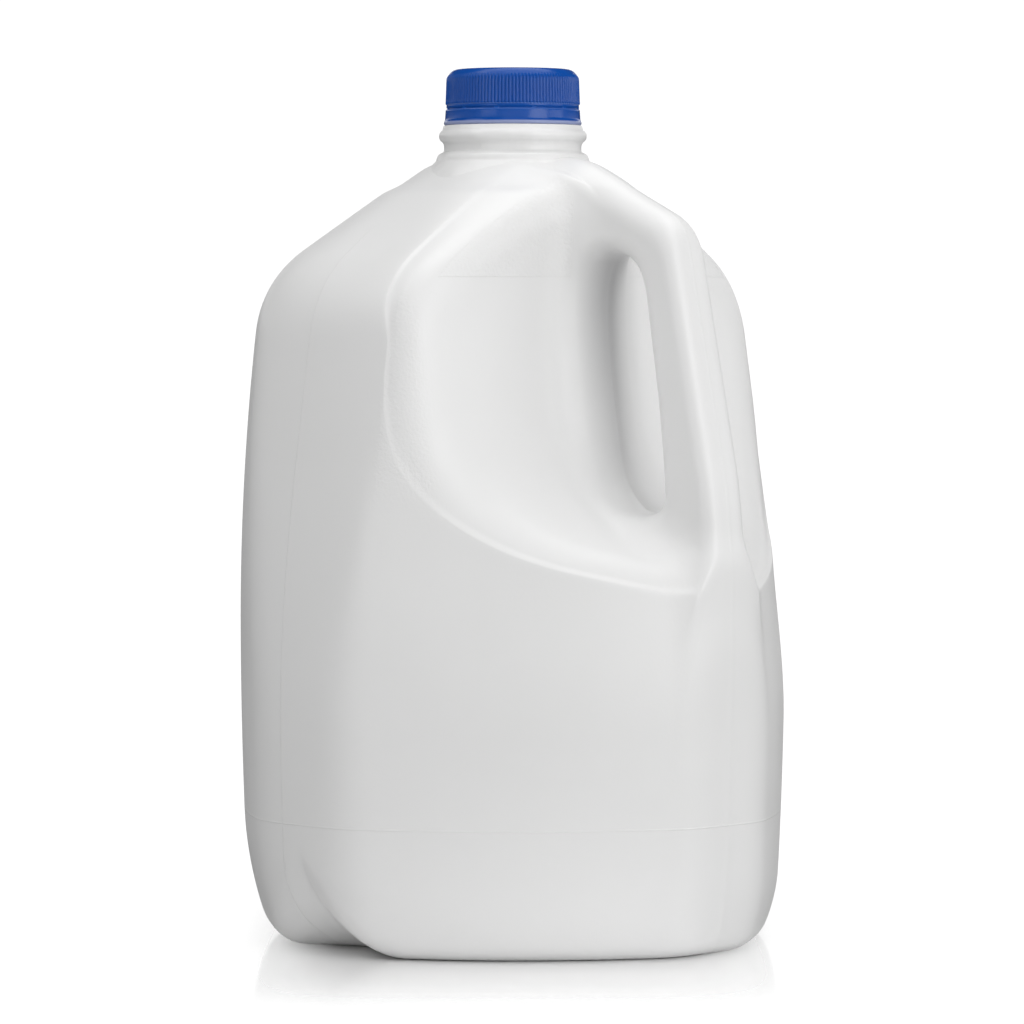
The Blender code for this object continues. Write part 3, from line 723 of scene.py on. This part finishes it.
# Finishes.  A tone is two colours between which a noise varies.  A noise is its cells
# a metre, its detail and, where it is given one, its roughness.
MILKY_TONE = ((0.75, 0.75, 0.745), (0.80, 0.80, 0.80))
MILKY_CLOUDS = (18.0, 3.0)
MILKY_SATIN = (60.0, 3.0)
MILKY_ROUGHNESS = (0.34, 0.16)         # the least, and what the noise adds
SWELL = (38.0, 1.0)
SWELL_STRETCH = (1.0, 1.0, 0.5)
SWELL_DEPTH = 0.0002
ORANGE_PEEL = (900.0, 2.0)
ORANGE_PEEL_DEPTH = 0.00002

# Painted shade: the wall behind the hand opening is darker on the parting plane, where the
# handle shades it.  A rise is the start and the width over which a share grows from 0 to 1,
# and a fall is the end and the width over which it sinks back to 0.
OPENING_SHADE_COLOUR = (0.54, 0.54, 0.545)
OPENING_SHADE_SHARE = 0.9
OPENING_SHADE_SIDE_FALL = (0.0108, 0.009)
OPENING_SHADE_OUTWARD_RISE = (0.026, 0.004)
OPENING_SHADE_OUTWARD_FALL = (0.0475, 0.003)
OPENING_SHADE_UPWARD_RISE = (0.115, 0.07)
OPENING_SHADE_UPWARD_FALL = (0.205, 0.006)

# Lines are (place, half width).  One runs round the walls above the foot, and one
# down the facet of the corner at -Y.
LEVEL_LINE = (0.038, 0.00035)
FACET_LINE = (-0.0072, 0.0003)
FACET_LINE_SIDE = -0.05                # only where y is less than this
LINE_HEIGHT = 0.0001

# Grain inside the upright part of the grip's rim, and along the grip's upper edge
GRAIN = (1100.0, 3.0, 0.6)
GRAIN_DEPTH = 0.00016
MARGIN_SIDE_RISE = (0.066, 0.004)
MARGIN_OUTWARD_RISE = (0.0225, 0.002)
MARGIN_UPWARD_RISE = (0.128, 0.01)
TOP_EDGE_LEVEL = 0.195
TOP_EDGE_OUTWARD = 0.03
TOP_EDGE_SIDE = 0.012

NECK_TONE = ((0.74, 0.74, 0.735), (0.81, 0.81, 0.81))
NECK_CLOUDS = (120.0, 2.0)
NECK_SATIN = (200.0, 2.0)
NECK_ROUGHNESS = (0.3, 0.15)
LUMPS = (110.0, 2.0)
LUMPS_STRETCH = (1.0, 1.0, 0.7)
LUMPS_DEPTH = 0.0007

BLUE_TONE = ((0.0015, 0.058, 0.310), (0.0025, 0.069, 0.350))
BLUE_CLOUDS = (150.0, 3.0)
BLUE_SATIN = (400.0, 3.0)
BLUE_ROUGHNESS = (0.15, 0.1)
BLUE_GRAIN = (1400.0, 3.0)
BLUE_GRAIN_DEPTH = 0.00002
EDGE_LIGHT_COLOUR = (0.25, 0.38, 0.75)       # thin edges let the light through
EDGE_LINES = ((0.24445, 0.00022, 0.25), (0.24605, 0.00025, 0.3))   # and the share of each
# painted light: the thin lip is paler for the light that it lets through
LIP_LIGHT_COLOUR = (0.32, 0.36, 0.55)
LIP_LIGHT_SHARE = 0.85
LIP_FALL = (0.2412, 0.0004)

FLOOR_TONE = ((0.96, 0.96, 0.96), (0.98, 0.98, 0.98))
FLOOR_GRAIN = (40.0, 2.0)
FLOOR_FADE_START = 0.095     # the floor fades into the white backdrop between these radii
FLOOR_FADE_END = 0.19
FLOOR_FADE_SIDEWAYS = 2.0    # and this many times as soon to left and right
FLOOR_FADE_POWER = 6.0       # how square the fade is


class Wire:
    """A shader value; arithmetic on it adds Math nodes to its graph."""

    def __init__(self, graph, socket):
        self.graph = graph
        self.socket = socket

    def combine(self, operation, first, second=0.0):
        return self.graph.node("ShaderNodeMath", {"operation": operation}, [first, second])

    def __add__(self, other):
        return self.combine("ADD", self, other)

    def __sub__(self, other):
        return self.combine("SUBTRACT", self, other)

    def __rsub__(self, other):
        return self.combine("SUBTRACT", other, self)

    def __mul__(self, other):
        return self.combine("MULTIPLY", self, other)

    def __truediv__(self, other):
        return self.combine("DIVIDE", self, other)

    def __pow__(self, power):
        return self.combine("POWER", self, power)

    def __abs__(self):
        return self.combine("ABSOLUTE", self)

    def __lt__(self, other):
        return self.combine("LESS_THAN", self, other)

    def __gt__(self, other):
        return self.combine("GREATER_THAN", self, other)

    def clamped(self):
        return self.graph.node("ShaderNodeClamp", {}, [self, 0.0, 1.0])

    def rise(self, start, width):
        """Zero up to start, one from start + width on."""
        return ((self - start) / width).clamped()

    def fall(self, end, width):
        """One up to end - width, zero from end on."""
        return ((end - self) / width).clamped()

    def line(self, place, half_width):
        """One where this value equals place, falling to zero at half_width from it."""
        return (1.0 - abs(self - place) / half_width).clamped()


class Graph:
    """A node tree under construction."""

    def __init__(self, tree):
        self.tree = tree

    def node(self, kind, settings, values, output=0):
        """Add a node: its settings first, then the values or links of its sockets."""
        made = self.tree.nodes.new(kind)
        for key, value in settings.items():
            setattr(made, key, value)
        pairs = values.items() if isinstance(values, dict) else enumerate(values)
        for key, value in pairs:
            if isinstance(value, Wire):
                self.tree.links.new(value.socket, made.inputs[key])
            else:
                made.inputs[key].default_value = value
        return Wire(self, made.outputs[output])

    def coordinates(self, kind):
        """The coordinates of the given kind as one wire, and then each of the three."""
        place = self.node("ShaderNodeTexCoord", {}, [], output=kind)
        split = self.node("ShaderNodeSeparateXYZ", {}, [place]).socket.node
        return place, *(Wire(self, socket) for socket in split.outputs)


class Finish(Graph):
    """A material, its Principled shader and its object coordinates, in metres."""

    def __init__(self, name, **constants):
        self.material = bpy.data.materials.new(name)
        self.material.use_nodes = True
        super().__init__(self.material.node_tree)
        self.shader = self.tree.nodes["Principled BSDF"]
        for socket, value in constants.items():
            self.shader.inputs[socket.replace("_", " ")].default_value = value
        self.place, self.x, self.y, self.z = self.coordinates("Object")

    def noise(self, scale, detail=2.0, roughness=0.5, stretch=(1.0, 1.0, 1.0)):
        """Noise in the object's own space; scale is in cells a metre."""
        place = self.node("ShaderNodeMapping", {}, {"Vector": self.place, "Scale": stretch})
        return self.node("ShaderNodeTexNoise", {}, {"Vector": place, "Scale": scale,
                                                    "Detail": detail, "Roughness": roughness})

    def colour_mix(self, share, first, second):
        """The first colour where the share is 0, the second where it is 1."""
        first, second = ((*colour, 1.0) if isinstance(colour, tuple) else colour
                         for colour in (first, second))
        return self.node("ShaderNodeMix", {"data_type": "RGBA"},
                         {0: share, 6: first, 7: second}, output=2)

    def tone(self, clouds, colours):
        """A colour that varies between two with a noise."""
        return self.colour_mix(self.noise(*clouds), *colours)

    def feed(self, socket, wire):
        """Link a value to one of the shader's inputs."""
        self.tree.links.new(wire.socket, self.shader.inputs[socket])

    def feed_roughness(self, satin, levels):
        """Roughness: levels[0] + levels[1] x noise."""
        self.feed("Roughness", self.noise(*satin) * levels[1] + levels[0])

    def relief(self, height, depth, under=None):
        """Bump from a height of 0 to 1 that stands for depth in metres."""
        values = {"Height": height, "Distance": depth, "Strength": 1.0}
        if under is not None:
            values["Normal"] = under
        return self.node("ShaderNodeBump", {}, values)


def milky_plastic():
    """Blow-moulded natural plastic: milky white, satin, faintly uneven, with shade painted
    behind the hand opening.
    """
    finish = Finish("milky_plastic", IOR=1.5)
    x, z, side = finish.x, finish.z, abs(finish.y)
    # painted shade on the wall behind the hand opening, where the handle shades it
    opening_shade = side.fall(*OPENING_SHADE_SIDE_FALL) * z.rise(*OPENING_SHADE_UPWARD_RISE)
    opening_shade = opening_shade * x.fall(*OPENING_SHADE_OUTWARD_FALL) * x.rise(*OPENING_SHADE_OUTWARD_RISE)
    opening_shade = opening_shade * z.fall(*OPENING_SHADE_UPWARD_FALL)
    tone = finish.tone(MILKY_CLOUDS, MILKY_TONE)
    finish.feed("Base Color", finish.colour_mix(opening_shade * OPENING_SHADE_SHARE, tone, OPENING_SHADE_COLOUR))
    finish.feed_roughness(MILKY_SATIN, MILKY_ROUGHNESS)
    lines = z.line(*LEVEL_LINE) + x.line(*FACET_LINE) * (finish.y < FACET_LINE_SIDE)
    margin = side.rise(*MARGIN_SIDE_RISE) * x.rise(*MARGIN_OUTWARD_RISE)
    margin = margin * z.rise(*MARGIN_UPWARD_RISE)
    top_edge = (z > TOP_EDGE_LEVEL) * (x > TOP_EDGE_OUTWARD) * (side > TOP_EDGE_SIDE)
    bump = finish.relief(finish.noise(*SWELL, stretch=SWELL_STRETCH), SWELL_DEPTH)
    bump = finish.relief(finish.noise(*ORANGE_PEEL), ORANGE_PEEL_DEPTH, bump)
    grain = finish.noise(*GRAIN) * (margin + top_edge).clamped()
    bump = finish.relief(grain, GRAIN_DEPTH, bump)
    finish.feed("Normal", finish.relief(lines, LINE_HEIGHT, bump))
    return finish.material


def neck_plastic():
    """The same plastic at the neck, thicker, glossier and a little lumpy."""
    finish = Finish("neck_plastic", IOR=1.5)
    finish.feed("Base Color", finish.tone(NECK_CLOUDS, NECK_TONE))
    finish.feed_roughness(NECK_SATIN, NECK_ROUGHNESS)
    bump = finish.relief(finish.noise(*LUMPS, stretch=LUMPS_STRETCH), LUMPS_DEPTH)
    peel = finish.noise(*ORANGE_PEEL)
    finish.feed("Normal", finish.relief(peel, ORANGE_PEEL_DEPTH, bump))
    return finish.material


def blue_plastic():
    """Royal blue cap: semi-gloss; its thin edges and lip are painted paler for the light they
    let through.
    """
    finish = Finish("blue_plastic", IOR=1.45, Specular_IOR_Level=0.3)
    upper, lower = (finish.z.line(place, width) * share for place, width, share in EDGE_LINES)
    blue = finish.colour_mix(upper + lower, finish.tone(BLUE_CLOUDS, BLUE_TONE), EDGE_LIGHT_COLOUR)
    # painted light on the lip, which is thin enough to let light through
    lip_light = finish.z.fall(*LIP_FALL) * LIP_LIGHT_SHARE
    finish.feed("Base Color", finish.colour_mix(lip_light, blue, LIP_LIGHT_COLOUR))
    finish.feed_roughness(BLUE_SATIN, BLUE_ROUGHNESS)
    finish.feed("Normal", finish.relief(finish.noise(*BLUE_GRAIN), BLUE_GRAIN_DEPTH))
    return finish.material


def floor_finish():
    """Pale, slightly glossy studio floor that fades into the backdrop.

    It fades with a radius that is the root of |FLOOR_FADE_SIDEWAYS x across|^power
    + |along|^power, where across and along are measured on the view.
    """
    finish = Finish("studio_floor", Roughness=0.1, IOR=1.45)
    finish.feed("Base Color", finish.tone(FLOOR_GRAIN, FLOOR_TONE))
    across = abs((finish.x + finish.y) * FLOOR_FADE_SIDEWAYS)
    along = abs(finish.x - finish.y)
    radius = (across**FLOOR_FADE_POWER + along**FLOOR_FADE_POWER) ** (1.0 / FLOOR_FADE_POWER)
    radius = radius * math.sqrt(0.5)     # as both are longer by the root of 2
    fade = finish.node("ShaderNodeMapRange", {"interpolation_type": "SMOOTHSTEP"},
                       [radius, FLOOR_FADE_START, FLOOR_FADE_END, 0.0, 1.0])
    solid = Wire(finish, finish.shader.outputs[0])
    clear = finish.node("ShaderNodeBsdfTransparent", {}, [])
    mixed = finish.node("ShaderNodeMixShader", {}, [fade, solid, clear])
    output = finish.tree.nodes["Material Output"]
    finish.tree.links.new(mixed.socket, output.inputs["Surface"])
    return finish.material


# Studio: the view looks along the wall beside the handle
VIEW_RIGHT = Vector((1.0, 1.0, 0.0)) / math.sqrt(2.0)
VIEW_TOWARDS = Vector((1.0, -1.0, 0.0)) / math.sqrt(2.0)
CAMERA_DISTANCE = 1.5
CAMERA_HEIGHT = 0.1915
CAMERA_TARGET = 0.1251
CAMERA_LENS = 177.19
CAMERA_SHIFT = -0.0007
CAMERA_SENSOR = 36.0         # millimetres, as the lens

# name, place (right, towards, up), width, height, watts
SOFTBOXES = (
    ("overhead", (0.10, -0.10, 1.30), 1.2, 1.2, 9.4),
    ("top_front", (0.10, 0.80, 1.20), 0.9, 0.9, 1.9),
    ("top_left", (-0.90, 0.20, 1.20), 0.8, 0.8, 4.6),
    ("left_front", (-0.95, 1.10, 0.22), 0.7, 0.5, 2.3),
    ("front_fill", (0.10, 1.60, 0.80), 1.4, 1.0, 2.8),
    ("right_side", (1.10, 1.10, 0.55), 0.9, 0.9, 10.2),
    ("right_back", (1.40, 0.25, 0.30), 0.7, 0.5, 2.2),
)
SOFTBOX_AIM = 0.12           # height on the jug's axis at which they all point
AMBIENT = 0.1
FLOOR_GLOW = 0.58            # light that the far floor sends back up
BACKDROP = 1.08
MIRRORED_FROM = 0.1          # a mirror image sees the backdrop between angles of these sines
MIRRORED_UP = 0.22
MIRRORED_DARK = 0.05         # and this above and below
FLOOR_RINGS = (0.001, 60.0, 200.0, 600.0, 1800.0, 6000.0)   # radii, in millimetres
FLOOR_STEPS = 96
FLOOR_DROP = 0.05            # the floor lies this far below the standing face, in millimetres


def in_view(right, towards, up):
    """A place given as metres to the right, towards the camera and up."""
    return VIEW_RIGHT * right + VIEW_TOWARDS * towards + Vector((0.0, 0.0, up))


def place_in_view(name, data, place, aim):
    """Put a camera or lamp at its place in the view, turned to the axis at height aim."""
    obj = bpy.data.objects.new(name, data)
    bpy.context.scene.collection.objects.link(obj)
    obj.location = in_view(*place)
    look = Vector((0.0, 0.0, aim)) - obj.location
    obj.rotation_euler = look.to_track_quat("-Z", "Y").to_euler()
    return obj


def make_camera():
    """A long lens at about the height of the grip's top, looking a little down."""
    data = bpy.data.cameras.new("camera")
    data.lens = CAMERA_LENS
    data.sensor_width = CAMERA_SENSOR
    data.shift_x = CAMERA_SHIFT
    place = (0.0, CAMERA_DISTANCE, CAMERA_HEIGHT)
    bpy.context.scene.camera = place_in_view("camera", data, place, CAMERA_TARGET)


def make_softboxes():
    """Rectangular area lamps, each turned to the jug."""
    for name, place, width, height, watts in SOFTBOXES:
        data = bpy.data.lights.new(name, "AREA")
        data.shape = "RECTANGLE"
        data.size = width
        data.size_y = height
        data.energy = watts
        place_in_view(name, data, place, SOFTBOX_AIM)


def make_world():
    """White backdrop; on the jug it sheds an even light, brighter from below.

    Low over the floor a mirror image sees it as white as the eye does.
    """
    world = bpy.data.worlds.new("studio")
    world.use_nodes = True
    bpy.context.scene.world = world
    graph = Graph(world.node_tree)
    _, _, _, up = graph.coordinates("Generated")
    seen = graph.node("ShaderNodeLightPath", {}, []).socket.node.outputs
    direct = Wire(graph, seen["Is Camera Ray"])
    mirrored = Wire(graph, seen["Is Glossy Ray"])
    in_band = mirrored * (up > MIRRORED_FROM) * (up < MIRRORED_UP)
    light = AMBIENT
    for share, strength in ((up < 0.0, FLOOR_GLOW), (mirrored, MIRRORED_DARK),
                            (in_band, BACKDROP), (direct, BACKDROP)):
        light = graph.node("ShaderNodeMix", {"data_type": "FLOAT"},
                           {0: share, 2: light, 3: strength})
    background = graph.tree.nodes["Background"]
    background.inputs["Color"].default_value = (1.0, 1.0, 1.0, 1.0)
    graph.tree.links.new(light.socket, background.inputs["Strength"])


def make_floor():
    """A round pale floor under the jug."""
    angles = 2.0 * math.pi * np.arange(FLOOR_STEPS) / FLOOR_STEPS
    rings = np.array(FLOOR_RINGS)[:, None]
    x, y = rings * np.cos(angles), rings * np.sin(angles)
    points = np.stack([x, y, 0.0 * x - FLOOR_DROP], axis=-1)
    faces = grid_quads(len(FLOOR_RINGS), FLOOR_STEPS, False, True)
    floor = shell("floor", points, faces, floor_finish())


def main():
    """Build the pieces, attach them to the root, hide the imported jug and cap, and set the
    studio up round them.
    """
    bpy.context.scene.view_settings.view_transform = "Standard"
    body = make_body(milky_plastic())
    neck = make_neck(neck_plastic())
    cap = make_cap(blue_plastic())
    for piece in (body, neck, cap):
        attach(piece, "root")
    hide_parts("jug")
    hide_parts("cap")
    make_floor()
    make_camera()
    make_softboxes()
    make_world()


main()
